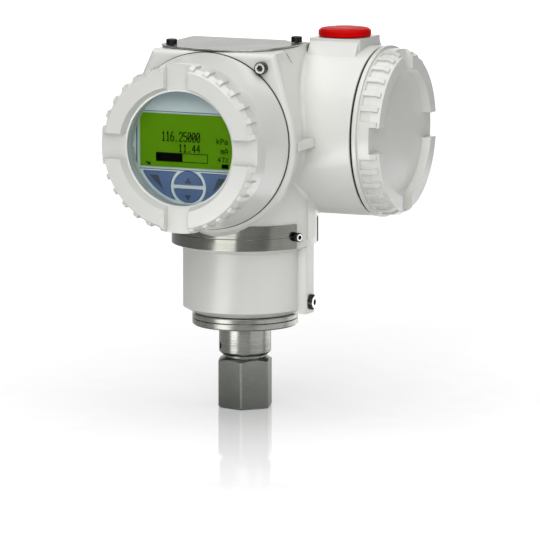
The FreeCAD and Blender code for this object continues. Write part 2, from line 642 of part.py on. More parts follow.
fc = d("display_face")
fl = fc - d("ring_rise")
gs = fl - 1.2
whole = cover((0, -d("display_seam"), ah), "-Y", d("display_flange_rad"), 1.6, 21.0, fc,
              [(d("window_ring_rad"), fc), (d("window_rad") + 0.95, fl), (d("window_rad"), fl - 0.3), (d("window_rad"), gs),
               (d("glass_rad") + 0.1, gs), (d("glass_rad") + 0.1, gs - 12.2), (d("cover_inner_rad"), gs - 12.2)])
# one casting, kept as its body and the four raised segments that stand on it
raised = box(-60.0, 60.0, -d("display_seam") - fc - 5.0, -d("display_seam") - fl, ah - 60.0, ah + 60.0)
part("display_cover", cut(whole, raised))
part("display_cover_ring", common(whole, raised))
tf = d("terminal_face")
tl = tf - d("ring_rise")
part("terminal_cover", cover((d("terminal_seam"), bo, ah), "X", d("terminal_flange_rad"), 2.6, 3.8, tf,
                             [(d("terminal_disc_rad") + 1.0, tf), (d("terminal_disc_rad"), tl), (0, tl),
                              (0, d("terminal_disc_foot")), (d("cover_inner_rad"), d("terminal_disc_foot"))]))


def on_display(points):
    return turned(points, (0, -d("display_seam"), ah), "-Y")


part("window_gasket", on_display([(d("window_rad") + 0.3, gs - 0.6), (d("glass_rad"), gs - 0.6), (d("glass_rad"), gs), (d("window_rad") + 0.3, gs)]))
gt = gs - 0.6
gb = gt - d("glass_thick")
part("window_glass", on_display([(0, gb), (d("glass_rad"), gb), (d("glass_rad"), gt), (0, gt)]))
ring = on_display([(29.4, gb - 3.0), (d("glass_rad"), gb - 3.0), (d("glass_rad"), gb), (29.4, gb)])
slots = [box(x0, x1, -d("display_seam") - gb + 1.2, -d("display_seam") - gb + 5.0, ah - 1.5, ah + 1.5)
         for x0, x1 in ((-36.0, -28.0), (28.0, 36.0))]
part("window_retaining_ring", cut(ring, *slots))
part("display_cover_o_ring", torus(41.2, 0.75, (0, 1.25 - d("display_seam"), ah), "-Y"))
part("terminal_cover_o_ring", torus(41.35, 0.85, (d("terminal_seam") - 1.2, bo, ah), "X"))

# ---------------------------------------------------------------- display module
mf = d("module_face")
mr = d("module_rad")
case = cut(cyl(mr, 14.0, (0, -mf + 2.0, ah), "Y"), cyl(mr - 2.0, 12.4, (0, -mf + 3.6, ah), "Y"),
           box(-d("lcd_left") - 0.8, d("lcd_right") + 0.8, -mf - 1.0, -mf + 5.0, d("lcd_foot") - 0.8, d("lcd_head") + 0.8),
           common(cyl(29.4, 6.0, (0, -mf, ah), "Y"), box(-30.0, 30.0, -mf - 1.0, -mf + 7.0, 110.0, d("side_key_top") + 0.9)))
part("display_case", case)
kc, kr, kg = d("key_centre"), d("key_rad"), d("key_gap")


def half_disc(rad, low, high, y0, thick):
    return common(cyl(rad, thick, (0, y0, kc), "Y"), box(-20.0, 20.0, y0 - 1.0, y0 + thick + 1.0, low, high))


def side_key(grow, sign, y0, thick):
    blank = common(cyl(d("side_key_rad") + grow, thick, (0, y0, ah), "Y"),
                   box(6.2 - grow if sign > 0 else -30.0, 30.0 if sign > 0 else grow - 6.2,
                       y0 - 1.0, y0 + thick + 1.0, 110.0, d("side_key_top") + grow))
    return cut(blank, cyl(d("side_key_inner") - grow, thick + 4.0, (0, y0 - 2.0, kc), "Y"))


kt = 2.6
ky = -mf - 0.5
bar = d("key_bar") / 2.0
part("key_up", half_disc(kr, kc + bar, kc + 12.0, ky, kt))
part("key_down", half_disc(kr, kc - 12.0, kc - bar, ky, kt))
part("key_left", side_key(0.0, -1, ky, kt))
part("key_right", side_key(0.0, 1, ky, kt))
face = cyl(mr, 1.6, (0, -mf, ah), "Y")
windows = [box(-d("lcd_left"), d("lcd_right"), -mf - 1.0, -mf + 3.0, d("lcd_foot"), d("lcd_head")),
           half_disc(kr + kg, kc + bar - kg, kc + 13.0, -mf - 1.0, 4.0),
           half_disc(kr + kg, kc - 13.0, kc - bar + kg, -mf - 1.0, 4.0),
           side_key(0.3, -1, -mf - 1.0, 4.0), side_key(0.3, 1, -mf - 1.0, 4.0)]
part("display_faceplate", cut(face, *windows))
part("lcd_panel", box(-d("lcd_left") - 0.5, d("lcd_right") + 0.5, -mf + 1.65, -mf + 4.2, d("lcd_foot") - 0.5, d("lcd_head") + 0.5))
part("key_mat", common(cyl(29.0, 0.8, (0, -mf + 4.4, ah), "Y"), box(-28.0, 28.0, -mf, -mf + 8.0, 112.0, 132.4)))
dboard = common(cyl(31.0, 1.6, (0, -mf + 5.4, ah), "Y"), box(-31.0, 31.0, -mf, -mf + 9.0, 112.5, 175.0))
part("display_board", fuse(dboard, box(-9.0, 9.0, -mf + 7.0, -mf + 9.4, 138.0, 156.0), box(-20.0, -12.0, -mf + 7.0, -mf + 8.6, 140.0, 150.0),
                           box(-10.0, 10.0, -mf + 7.0, -mf + 12.0, 162.0, 168.0)))
mboard = cyl(36.5, 1.6, (0, -25.6, ah), "Y")
part("main_board", fuse(cut(mboard, *[cyl(1.6, 4.0, (x, -27.0, z), "Y") for x, z in ((-30.0, 157.0), (30.0, 157.0), (-30.0, 132.0), (30.0, 132.0))]),
                        box(-12.0, 4.0, -28.0, -25.6, 136.0, 152.0), box(9.0, 19.0, -29.6, -25.6, 146.0, 160.0),
                        box(-20.0, -15.0, -33.0, -25.6, 150.0, 162.0), box(-10.0, 10.0, -31.0, -25.6, 162.0, 168.0),
                        box(10.0, 20.0, -29.0, -25.6, 122.0, 134.0)))
part("board_posts", group(*[fuse(cyl(2.6, 6.7, (x, -24.0, z), "Y"), cyl(1.2, 4.0, (x, -17.6, z), "Y"))
                            for x, z in ((-30.0, 157.0), (30.0, 157.0), (-30.0, 132.0), (30.0, 132.0))]))
part("module_posts", group(*[fuse(cyl(2.4, 26.4, (x, -52.0, z), "Y"), cyl(1.5, 1.5, (x, -25.6, z), "Y"))
                             for x, z in ((-30.0, 157.0), (30.0, 157.0), (-30.0, 132.0), (30.0, 132.0))]))

# ---------------------------------------------------------------- terminal compartment
tfl = d("terminal_floor")
blk = fuse(box(tfl, tfl + 8.0, bo - 29.0, bo + 29.0, ah - 9.0, ah + 9.0), box(tfl + 8.0, tfl + 15.0, bo - 19.0, bo + 19.0, ah - 9.0, ah + 9.0))
tys = (-13.0, 0.0, 13.0)
wells = [cyl(3.4, 8.0, (tfl + 10.0, bo + y, ah), "X") for y in tys]
shanks = [cyl(1.5, 9.0, (tfl + 5.0, bo + y, ah), "X") for y in tys]
holes = [cyl(1.6, 12.0, (tfl - 1.0, bo + y, ah), "X") for y in (-24.0, 24.0)]
part("terminal_block", cut(blk, *(wells + shanks + holes)))
part("terminal_screws", group(*[socket_screw((tfl + 12.0, bo + y, ah), "X", 2.6, 2.2, 1.45, 6.0, 2.0, 1.0, 0.3) for y in tys]))
part("clamp_plates", group(*[cut(cyl(3.2, 1.0, (tfl + 10.5, bo + y, ah), "X"), cyl(1.5, 3.0, (tfl + 9.5, bo + y, ah), "X")) for y in tys]))
part("block_screws", group(*[socket_screw((tfl + 8.0, bo + y, ah), "X", 2.7, 2.4, 1.5, 12.5, 2.5, 1.2, 0.3) for y in (-24.0, 24.0)]))
part("ground_screw", socket_screw((tfl + 1.6, 25.0, 116.0), "X", 3.6, 3.0, 2.0, 7.0, 3.0, 1.5, 0.3))
part("ground_clamp", cut(cyl(5.0, 1.5, (tfl, 25.0, 116.0), "X"), cyl(2.1, 4.0, (tfl - 1.0, 25.0, 116.0), "X")))
part("terminal_feedthrough", cyl(6.05, 5.9, (8.05, 18.0, 144.5), "X"))

# ---------------------------------------------------------------- cable entry plug
pg = d("pad_top") + d("plug_gap")
pr, ph = d("plug_rad"), d("plug_height")
part("entry_plug", turned([(0, -d("plug_stem")), (d("plug_stem_rad") - 1.0, -d("plug_stem")),
                           (d("plug_stem_rad"), 1.0 - d("plug_stem")), (d("plug_stem_rad"), 0), (pr - 0.5, 0),
                           (pr, 0.5), (pr, ph - 1.5), (pr - 1.2, ph - 0.5), (pr - 5.0, ph), (0, ph)],
                          (d("entry_x"), bo, pg)))

# ---------------------------------------------------------------- identification plate and what is under it
outline = [(-33.0, -31.0), (-29.0, -38.0), (-20.0, -42.4), (-9.0, -45.4), (2.0, -46.3), (13.0, -45.0),
           (22.0, -40.6), (28.0, -33.0), (31.6, -21.0), (33.4, -6.0), (33.0, 5.0), (24.5, 9.8), (-33.6, 9.8)]
sheet_metal = plate(outline, d("plate_thick"), (0, 0, d("plate_foot")))
pivot_hole = cyl(1.6, 4.0, (d("pivot_x"), d("pivot_y"), d("plate_foot") - 1.0))
reach = math.hypot(VAL["clamp_x"] - VAL["pivot_x"], VAL["clamp_y"] - VAL["pivot_y"])
bearing = math.degrees(math.atan2(VAL["clamp_y"] - VAL["pivot_y"], VAL["clamp_x"] - VAL["pivot_x"]))
# an open slot along the arc about the pivot screw, so the plate swings out from under the other head
slot = common(turned([(reach - 1.7, 0), (reach + 1.7, 0), (reach + 1.7, 4.0), (reach - 1.7, 4.0)],
                     (d("pivot_x"), d("pivot_y"), d("plate_foot") - 1.0)),
              plate([(0, 0), polar(90.0, bearing), polar(90.0, bearing + 25.0)], 4.0,
                    (d("pivot_x"), d("pivot_y"), d("plate_foot") - 1.0)))
slot_end = cyl(1.7, 4.0, (d("clamp_x"), d("clamp_y"), d("plate_foot") - 1.0))
part("identification_plate", cut(sheet_metal, pivot_hole, slot, slot_end))


def push_button(x):
    return turned([(0, 0), (d("button_rad"), 0), (d("button_rad"), 5.6), (d("button_rad") - 0.5, 6.1), (0, 6.1)],
                  (x, by, bt - 6.8))


part("zero_button", push_button(d("zero_x")))
part("span_button", push_button(d("span_x")))
rotor = turned([(0, 0), (d("button_rad"), 0), (d("button_rad"), 6.6), (d("button_rad") - 0.4, 7.0), (0, 7.0)],
               (d("switch_x"), by, bt - 7.8))
part("write_protect_switch", cut(rotor, box(d("switch_x") - 5.0, d("switch_x") + 5.0, by - 0.6, by + 0.6, bt - 2.3, bt + 1.0)))

# ---------------------------------------------------------------- check and write
doc.recompute()
bad = []
for o in doc.Objects:
    if "Invalid" in o.State or "Error" in o.State:
        bad.append("%s (%s): %s" % (o.Label, o.Name, o.State))
for o in PARTS:
    if o.Shape.isNull() or not o.Shape.isValid() or o.Shape.Volume <= 0 or not o.Shape.Solids:
        bad.append("%s: shape null or not valid" % o.Label)
if bad:
    raise RuntimeError("failed objects:\n" + "\n".join(bad))
os.makedirs("parts", exist_ok=True)
for o in PARTS:
    o.Shape.exportStep("parts/%s.step" % o.Label)
    bb = o.Shape.BoundBox
    print("%-24s solids %d  vol %9.1f  x %7.2f %7.2f  y %7.2f %7.2f  z %7.2f %7.2f" % (
        o.Label, len(o.Shape.Solids), o.Shape.Volume, bb.XMin, bb.XMax, bb.YMin, bb.YMax, bb.ZMin, bb.ZMax))
print(len(PARTS), "pieces")
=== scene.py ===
import bpy
import bmesh
import math
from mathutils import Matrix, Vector


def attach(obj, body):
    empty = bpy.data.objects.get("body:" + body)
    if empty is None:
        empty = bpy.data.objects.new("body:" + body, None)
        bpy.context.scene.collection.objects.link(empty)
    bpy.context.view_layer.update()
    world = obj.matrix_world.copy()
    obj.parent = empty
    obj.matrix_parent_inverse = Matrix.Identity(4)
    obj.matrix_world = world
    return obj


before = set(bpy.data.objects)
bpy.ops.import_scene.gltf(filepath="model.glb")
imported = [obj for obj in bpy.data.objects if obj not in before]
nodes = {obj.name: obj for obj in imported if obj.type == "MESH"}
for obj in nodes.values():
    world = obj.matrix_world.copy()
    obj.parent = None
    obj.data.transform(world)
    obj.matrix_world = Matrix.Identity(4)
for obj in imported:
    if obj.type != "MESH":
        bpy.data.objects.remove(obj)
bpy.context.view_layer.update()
scene = bpy.context.scene
MM = 0.001
AXIS_Z = 144.5          # height of the display's and the terminal barrel's axes
BARREL_Y = 25.0


# ---------------------------------------------------------------- materials
class Tree:
    """A material's node tree with a Principled shader on its output."""

    def __init__(self, name, **values):
        self.mat = bpy.data.materials.new(name)
        self.mat.use_nodes = True
        self.tree = self.mat.node_tree
        self.tree.nodes.clear()
        self.out = self.node("ShaderNodeOutputMaterial")
        self.bsdf = self.node("ShaderNodeBsdfPrincipled")
        self.link(self.bsdf.outputs["BSDF"], self.out.inputs["Surface"])
        self.coord = self.node("ShaderNodeTexCoord").outputs["Object"]
        for k, v in values.items():
            self.bsdf.inputs[k.replace("_", " ")].default_value = v

    def node(self, kind, **props):
        n = self.tree.nodes.new(kind)
        for k, v in props.items():
            setattr(n, k, v)
        return n

    def link(self, a, b):
        self.tree.links.new(a, b)

    def feed(self, socket, value):
        if hasattr(value, "is_output"):
            self.link(value, socket)
        else:
            socket.default_value = value

    def math(self, op, a, b=0.0, clamp=False):
        n = self.node("ShaderNodeMath", operation=op, use_clamp=clamp)
        self.feed(n.inputs[0], a)
        self.feed(n.inputs[1], b)
        return n.outputs[0]

    def scaled(self, scale, shift=(0, 0, 0), vector=None):
        n = self.node("ShaderNodeMapping")
        self.link(vector or self.coord, n.inputs["Vector"])
        n.inputs["Scale"].default_value = scale
        n.inputs["Location"].default_value = shift
        return n.outputs[0]

    def round_about(self, axis, centre, along, across, rings):
        """Coordinates whose noise runs round an axis, as a lathe's marks do."""
        s = self.node("ShaderNodeSeparateXYZ")
        self.link(self.coord, s.inputs[0])
        u, v, w = {"X": (1, 2, 0), "Y": (0, 2, 1), "Z": (0, 1, 2)}[axis]
        du = self.math("SUBTRACT", s.outputs[u], centre[0])
        dv = self.math("SUBTRACT", s.outputs[v], centre[1])
        rad = self.math("SQRT", self.math("ADD", self.math("MULTIPLY", du, du), self.math("MULTIPLY", dv, dv)))
        c = self.node("ShaderNodeCombineXYZ")
        self.link(self.math("ADD", self.math("MULTIPLY", rad, rings), self.math("MULTIPLY", du, across)), c.inputs[0])
        self.link(self.math("MULTIPLY", dv, across), c.inputs[1])
        self.link(self.math("MULTIPLY", s.outputs[w], along), c.inputs[2])
        return c.outputs[0]

    def noise(self, scale, detail=3.0, rough=0.5, vector=None):
        n = self.node("ShaderNodeTexNoise")
        self.link(vector or self.coord, n.inputs["Vector"])
        n.inputs["Scale"].default_value = scale
        n.inputs["Detail"].default_value = detail
        n.inputs["Roughness"].default_value = rough
        return n.outputs["Fac"]

    def ramp(self, fac, *stops):
        n = self.node("ShaderNodeValToRGB")
        e = n.color_ramp.elements
        while len(e) < len(stops):
            e.new(0.5)
        for el, (p, c) in zip(e, stops):
            el.position = p
            el.color = (c, c, c, 1) if isinstance(c, (int, float)) else (*c, 1)
        self.link(fac, n.inputs[0])
        return n.outputs[0]

    def span(self, value, lo, hi, a=0.0, b=1.0):
        n = self.node("ShaderNodeMapRange")
        self.feed(n.inputs["Value"], value)
        for k, v in (("From Min", lo), ("From Max", hi), ("To Min", a), ("To Max", b)):
            n.inputs[k].default_value = v
        return n.outputs[0]

    def mix(self, fac, a, b):
        n = self.node("ShaderNodeMix", data_type="RGBA")
        self.feed(n.inputs[0], fac)
        for s, v in ((n.inputs[6], a), (n.inputs[7], b)):
            self.feed(s, v if hasattr(v, "is_output") else (*v, 1))
        return n.outputs[2]

    def edges(self, radius, gain):
        """0 on flat faces, rising to 1 along edges; also the rounded normal."""
        b = self.node("ShaderNodeBevel", samples=6)
        b.inputs["Radius"].default_value = radius
        g = self.node("ShaderNodeNewGeometry")
        d = self.node("ShaderNodeVectorMath", operation="DOT_PRODUCT")
        self.link(b.outputs[0], d.inputs[0])
        self.link(g.outputs["Normal"], d.inputs[1])
        away = self.math("SUBTRACT", 1.0, d.outputs["Value"])
        return self.math("MULTIPLY", away, gain, clamp=True), b.outputs[0]

    def crevice(self, distance):
        n = self.node("ShaderNodeAmbientOcclusion", samples=6)
        n.inputs["Distance"].default_value = distance
        return n.outputs["AO"]

    def bump(self, height, distance, strength=1.0, normal=None):
        n = self.node("ShaderNodeBump")
        n.inputs["Distance"].default_value = distance
        n.inputs["Strength"].default_value = strength
        self.link(height, n.inputs["Height"])
        if normal is not None:
            self.link(normal, n.inputs["Normal"])
        return n.outputs[0]

    def wire(self, colour=None, roughness=None, normal=None):
        for k, v in (("Base Color", colour), ("Roughness", roughness), ("Normal", normal)):
            if v is not None:
                self.link(v, self.bsdf.inputs[k])
        return self.mat


def powder_coat():
    t = Tree("powder_coat", Metallic=0.0, IOR=1.5)
    t.bsdf.inputs["Coat Weight"].default_value = 0.35
    t.bsdf.inputs["Coat Roughness"].default_value = 0.22
    edge_wear_and_highlight, rounded = t.edges(0.0005, 2.6)
    broad = t.noise(22.0, 3.0, 0.55)
    fine = t.noise(900.0, 3.0, 0.6)
    peel = t.noise(1300.0, 2.0, 0.5)
    swell = t.noise(140.0, 2.0, 0.5)
    colour = t.mix(t.ramp(broad, (0.35, 0.0), (0.68, 1.0)), (0.800, 0.808, 0.770), (0.775, 0.783, 0.745))
    colour = t.mix(t.math("MULTIPLY", t.ramp(fine, (0.56, 0.0), (0.75, 1.0)), 0.16), colour, (0.66, 0.67, 0.64))
    colour = t.mix(t.math("MULTIPLY", t.math("MULTIPLY", edge_wear_and_highlight, t.ramp(fine, (0.40, 0.0), (0.62, 1.0))), 0.30),
                   colour, (0.88, 0.885, 0.86))
    # painted shade: colour darkened where ambient occlusion finds crevices and recesses
    painted_crevice_shade = t.span(t.crevice(0.006), 0.35, 0.95, 1.0, 0.0)
    colour = t.mix(t.math("MULTIPLY", painted_crevice_shade, 0.34), colour, (0.46, 0.47, 0.42))
    # painted shade: near-black in narrow gaps between parts
    painted_gap_shade = t.span(t.crevice(0.0022), 0.10, 0.36, 1.0, 0.0)
    colour = t.mix(t.math("MULTIPLY", painted_gap_shade, 0.92), colour, (0.035, 0.038, 0.032))
    rough = t.math("ADD", t.span(broad, 0.3, 0.7, 0.27, 0.35), t.math("MULTIPLY", edge_wear_and_highlight, -0.05))
    height = t.math("ADD", t.math("ADD", peel, t.math("MULTIPLY", fine, 0.5)), t.math("MULTIPLY", swell, 1.2))
    return t.wire(colour, rough, t.bump(height, 0.000030, 0.5, rounded))


def turned_steel(name, base=(0.33, 0.335, 0.31), dark=(0.22, 0.225, 0.207), lo=0.20, hi=0.32, axis="Z", centre=(0.0, 0.0), edge=0.0003, mark=0.000008):
    t = Tree(name, Metallic=1.0)
    lines = t.noise(1.0, 4.0, 0.65, t.round_about(axis, centre, 5200.0, 30.0, 5200.0))
    bands = t.noise(1.0, 2.0, 0.5, t.round_about(axis, centre, 900.0, 12.0, 900.0))
    cloud = t.noise(95.0, 4.0, 0.6)
    edge_wear_and_highlight, rounded = t.edges(edge, 3.0)
    colour = t.mix(t.ramp(t.math("ADD", t.math("MULTIPLY", lines, 0.55), t.math("MULTIPLY", cloud, 0.45)), (0.36, 0.0), (0.64, 1.0)), dark, base)
    # edge wear and painted highlight: edges lightened towards pale steel
    colour = t.mix(t.math("MULTIPLY", edge_wear_and_highlight, 0.8), colour, (0.86, 0.86, 0.83))
    # painted shade: near-black in narrow gaps between parts
    painted_gap_shade = t.span(t.crevice(0.0016), 0.12, 0.50, 1.0, 0.0)
    colour = t.mix(t.math("MULTIPLY", painted_gap_shade, 0.92), colour, (0.02, 0.02, 0.02))
    rough = t.math("ADD", t.span(bands, 0.3, 0.7, lo, hi), t.math("MULTIPLY", t.math("SUBTRACT", cloud, 0.5), 0.12))
    return t.wire(colour, rough, t.bump(lines, mark, 1.0, rounded))


def milled_steel():
    t = Tree("milled_steel", Metallic=1.0)
    lines = t.noise(1.0, 4.0, 0.6, t.scaled((900.0, 900.0, 4200.0)))
    cloud = t.noise(70.0, 4.0, 0.6)
    s = t.node("ShaderNodeSeparateXYZ")
    t.link(t.coord, s.inputs[0])
    edge_wear_and_highlight, rounded = t.edges(0.0006, 4.2)
    colour = t.mix(t.ramp(t.math("ADD", t.math("MULTIPLY", lines, 0.5), t.math("MULTIPLY", cloud, 0.5)), (0.36, 0.0), (0.64, 1.0)),
                   (0.25, 0.265, 0.235), (0.36, 0.375, 0.34))
    # painted shade: darker and greener over the lowest 20 mm
    colour = t.mix(t.span(s.outputs[2], 0.0, 0.020, 0.25, 0.0), colour, (0.20, 0.23, 0.19))
    # painted highlight: edges lightened almost to white
    colour = t.mix(edge_wear_and_highlight, colour, (1.0, 1.0, 0.98))
    # painted shade: near-black in narrow gaps between parts
    painted_gap_shade = t.span(t.crevice(0.0018), 0.12, 0.55, 1.0, 0.0)
    colour = t.mix(t.math("MULTIPLY", painted_gap_shade, 0.92), colour, (0.02, 0.02, 0.02))
    rough = t.math("SUBTRACT", t.span(cloud, 0.3, 0.7, 0.28, 0.40), t.math("MULTIPLY", edge_wear_and_highlight, 0.08))
    return t.wire(colour, rough, t.bump(lines, 0.000010, 1.0, rounded))


def brushed_plate(name, axis_scale, base, dark, lo=0.26, hi=0.40):
    t = Tree(name, Metallic=1.0)
    lines = t.noise(1.0, 4.0, 0.7, t.scaled(axis_scale))
    cloud = t.noise(60.0, 4.0, 0.6)
    scratch = t.ramp(t.noise(1.0, 2.0, 0.8, t.scaled(tuple(a * 0.35 + 40.0 for a in axis_scale), (0.3, 0.1, 0.2))), (0.60, 0.0), (0.66, 1.0))
    edge_wear_and_highlight, rounded = t.edges(0.0003, 3.0)
    colour = t.mix(t.ramp(t.math("ADD", t.math("MULTIPLY", lines, 0.6), t.math("MULTIPLY", cloud, 0.4)), (0.34, 0.0), (0.66, 1.0)), dark, base)
    colour = t.mix(t.math("MULTIPLY", scratch, 0.25), colour, (0.80, 0.80, 0.78))
    colour = t.mix(t.math("MULTIPLY", edge_wear_and_highlight, 0.5), colour, (0.82, 0.81, 0.78))
    rough = t.math("ADD", t.span(lines, 0.3, 0.7, lo, hi), t.math("MULTIPLY", scratch, 0.08))
    return t.wire(colour, rough, t.bump(lines, 0.000012, 1.0, rounded))


def socket_steel(name="socket_screw_steel", axis=None, centre=(0.0, 0.0, 0.0), face=(0.0, 0.0)):
    """Screw steel, with painted shade in its hollows. With an axis, the head's face gets a painted highlight between a
    painted shadow at its rim and painted shade in its socket (metres).
    """
    t = Tree(name, Metallic=1.0)
    cloud = t.noise(900.0, 4.0, 0.6)
    edge_wear_and_highlight, rounded = t.edges(0.00025, 3.5)
    painted_hollow_shade = t.span(t.crevice(0.0016), 0.30, 0.92, 1.0, 0.0)
    colour = t.mix(t.ramp(cloud, (0.35, 0.0), (0.65, 1.0)), (0.42, 0.42, 0.41), (0.60, 0.60, 0.59))
    if axis:
        away = t.node("ShaderNodeVectorMath", operation="SUBTRACT")
        t.link(t.coord, away.inputs[0])
        away.inputs[1].default_value = centre
        lift = t.node("ShaderNodeVectorMath", operation="DOT_PRODUCT")
        t.link(away.outputs[0], lift.inputs[0])
        lift.inputs[1].default_value = axis
        size = t.node("ShaderNodeVectorMath", operation="LENGTH")
        t.link(away.outputs[0], size.inputs[0])
        rr = t.math("SQRT", t.math("MAXIMUM", t.math("SUBTRACT", t.math("MULTIPLY", size.outputs["Value"], size.outputs["Value"]),
                                                    t.math("MULTIPLY", lift.outputs["Value"], lift.outputs["Value"])), 0.0))
        # masks for the head's rim and its socket, where shadow and shade are painted
        painted_rim_shadow = t.span(rr, face[1], face[1] + 0.00012)
        painted_socket_shade = t.span(rr, face[0], face[0] - 0.00012)
        # painted highlight: the head's face between rim and socket is lightened
        colour = t.mix(t.math("MULTIPLY", t.math("SUBTRACT", 1.0, t.math("MAXIMUM", painted_rim_shadow, painted_socket_shade)), 0.75), colour, (0.93, 0.93, 0.92))
        # painted shadow at the rim and painted shade in the socket
        colour = t.mix(t.math("MULTIPLY", t.math("MAXIMUM", painted_rim_shadow, painted_socket_shade), 0.93), colour, (0.025, 0.025, 0.025))
    else:
        # edge wear and painted highlight: edges lightened towards pale steel
        colour = t.mix(t.math("MULTIPLY", edge_wear_and_highlight, 0.8), colour, (0.80, 0.80, 0.79))
    # painted shade: hollows darkened to near-black
    colour = t.mix(t.math("MULTIPLY", painted_hollow_shade, 0.92), colour, (0.02, 0.02, 0.02))
    return t.wire(colour, t.span(cloud, 0.3, 0.7, 0.22, 0.36), t.bump(cloud, 0.00001, 1.0, rounded))


def black_screws():
    t = Tree("blackened_screws", Metallic=0.75)
    cloud = t.noise(800.0, 4.0, 0.6)
    edge_wear_and_highlight, rounded = t.edges(0.00025, 3.0)
    colour = t.mix(t.ramp(cloud, (0.35, 0.0), (0.65, 1.0)), (0.012, 0.012, 0.013), (0.030, 0.030, 0.031))
    # edge wear and painted highlight: edges lightened to grey
    colour = t.mix(t.math("MULTIPLY", edge_wear_and_highlight, 0.75), colour, (0.42, 0.42, 0.41))
    return t.wire(colour, t.span(cloud, 0.3, 0.7, 0.24, 0.38), t.bump(cloud, 0.00001, 1.0, rounded))


def rubber():
    t = Tree("black_rubber_seal")
    cloud = t.noise(500.0, 4.0, 0.6)
    dust = t.ramp(t.noise(160.0, 5.0, 0.7), (0.52, 0.0), (0.72, 1.0))
    colour = t.mix(t.math("MULTIPLY", dust, 0.3), (0.010, 0.010, 0.010), (0.035, 0.035, 0.034))
    return t.wire(colour, t.span(cloud, 0.3, 0.7, 0.50, 0.68), t.bump(cloud, 0.00002, 0.8))


def plastic(name, low, high, rough=(0.38, 0.50), grain=1200.0, depth=0.00002, edge=0.0003, rub=(0.5, 0.5, 0.5), rub_by=0.12, coat=0.0):
    t = Tree(name)
    t.bsdf.inputs["Coat Weight"].default_value = coat
    t.bsdf.inputs["Coat Roughness"].default_value = 0.2
    broad = t.noise(60.0, 3.0, 0.5)
    fine = t.noise(grain, 3.0, 0.6)
    edge_wear_and_highlight, rounded = t.edges(edge, 2.6)
    colour = t.mix(t.ramp(t.math("ADD", t.math("MULTIPLY", broad, 0.7), t.math("MULTIPLY", fine, 0.3)), (0.36, 0.0), (0.64, 1.0)), low, high)
    colour = t.mix(t.math("MULTIPLY", edge_wear_and_highlight, rub_by), colour, rub)
    return t.wire(colour, t.span(broad, 0.3, 0.7, *rough), t.bump(fine, depth, 0.6, rounded))


def red_plug():
    t = Tree("red_moulded_plug", Specular_IOR_Level=0.03)
    broad = t.noise(90.0, 3.0, 0.5)
    fine = t.noise(1400.0, 3.0, 0.6)
    edge_wear_and_highlight, rounded = t.edges(0.0006, 2.4)
    flow = t.noise(1.0, 3.0, 0.5, t.round_about("Z", (0.0454, 0.025), 260.0, 40.0, 620.0))
    colour = t.mix(t.ramp(t.math("ADD", t.math("MULTIPLY", broad, 0.5), t.math("MULTIPLY", flow, 0.5)), (0.36, 0.0), (0.66, 1.0)),
                   (0.56, 0.0012, 0.0016), (0.66, 0.0024, 0.003))
    colour = t.mix(t.math("MULTIPLY", edge_wear_and_highlight, 0.30), colour, (0.80, 0.06, 0.05))
    return t.wire(colour, t.span(flow, 0.3, 0.7, 0.30, 0.42), t.bump(t.math("ADD", fine, t.math("MULTIPLY", flow, 0.6)), 0.00003, 0.6, rounded))


def reflective_lcd():
    t = Tree("reflective_lcd", Specular_IOR_Level=0.05)
    # painted glow: the reflective panel is given emission though it has no backlight
    t.bsdf.inputs["Emission Strength"].default_value = 1.0
    s = t.node("ShaderNodeSeparateXYZ")
    t.link(t.coord, s.inputs[0])
    grid = t.math("MAXIMUM", t.span(t.math("PINGPONG", s.outputs[0], 0.00018), 0.00015, 0.00018),
                  t.span(t.math("PINGPONG", s.outputs[2], 0.00018), 0.00015, 0.00018))
    broad = t.noise(45.0, 3.0, 0.5)
    colour = t.mix(t.ramp(broad, (0.35, 0.0), (0.65, 1.0)), (0.050, 0.140, 0.002), (0.060, 0.160, 0.004))
    colour = t.mix(t.math("MULTIPLY", grid, 0.10), colour, (0.035, 0.105, 0.002))
    # painted glow, brighter towards the panel's top
    glow = t.mix(t.span(s.outputs[2], 0.1332, 0.1606), (0.044, 0.112, 0.0005), (0.050, 0.124, 0.0005))
    t.link(glow, t.bsdf.inputs["Emission Color"])
    return t.wire(colour, t.span(broad, 0.3, 0.7, 0.55, 0.68), t.bump(grid, 0.000004, 0.4))


def lcd_ink():
    t = Tree("lcd_dark_segments", Specular_IOR_Level=0.05)
    s = t.noise(2500.0, 2.0, 0.6)
    colour = t.mix(t.ramp(s, (0.35, 0.0), (0.65, 1.0)), (0.0008, 0.0012, 0.0016), (0.002, 0.003, 0.0035))
    return t.wire(colour, t.span(s, 0.3, 0.7, 0.55, 0.7), t.bump(s, 0.000004, 0.4))


def display_face():
    t = Tree("printed_faceplate", Specular_IOR_Level=0.2)
    # painted glow: a weak pale emission lightens the faceplate
    t.bsdf.inputs["Emission Color"].default_value = (0.62, 0.74, 0.78, 1)
    t.bsdf.inputs["Emission Strength"].default_value = 0.07
    s = t.node("ShaderNodeSeparateXYZ")
    t.link(t.coord, s.inputs[0])
    fine = t.noise(1800.0, 3.0, 0.6)
    broad = t.noise(60.0, 3.0, 0.5)
    # painted shade: darker and bluer towards the top, under the rim
    painted_top_shade = t.span(s.outputs[2], 0.1612, 0.1700, 0.0, 1.0)
    colour = t.mix(t.ramp(broad, (0.35, 0.0), (0.65, 1.0)), (0.78, 0.88, 0.90), (0.82, 0.92, 0.94))
    colour = t.mix(t.math("MULTIPLY", painted_top_shade, 0.75), colour, (0.36, 0.42, 0.50))
    colour = t.mix(t.math("MULTIPLY", t.ramp(fine, (0.5, 0.0), (0.7, 1.0)), 0.12), colour, (0.70, 0.76, 0.78))
    edge_wear_and_highlight, rounded = t.edges(0.0003, 2.4)
    colour = t.mix(t.math("MULTIPLY", edge_wear_and_highlight, 0.3), colour, (0.72, 0.80, 0.82))
    return t.wire(colour, t.span(broad, 0.3, 0.7, 0.36, 0.46), t.bump(fine, 0.00001, 0.5, rounded))


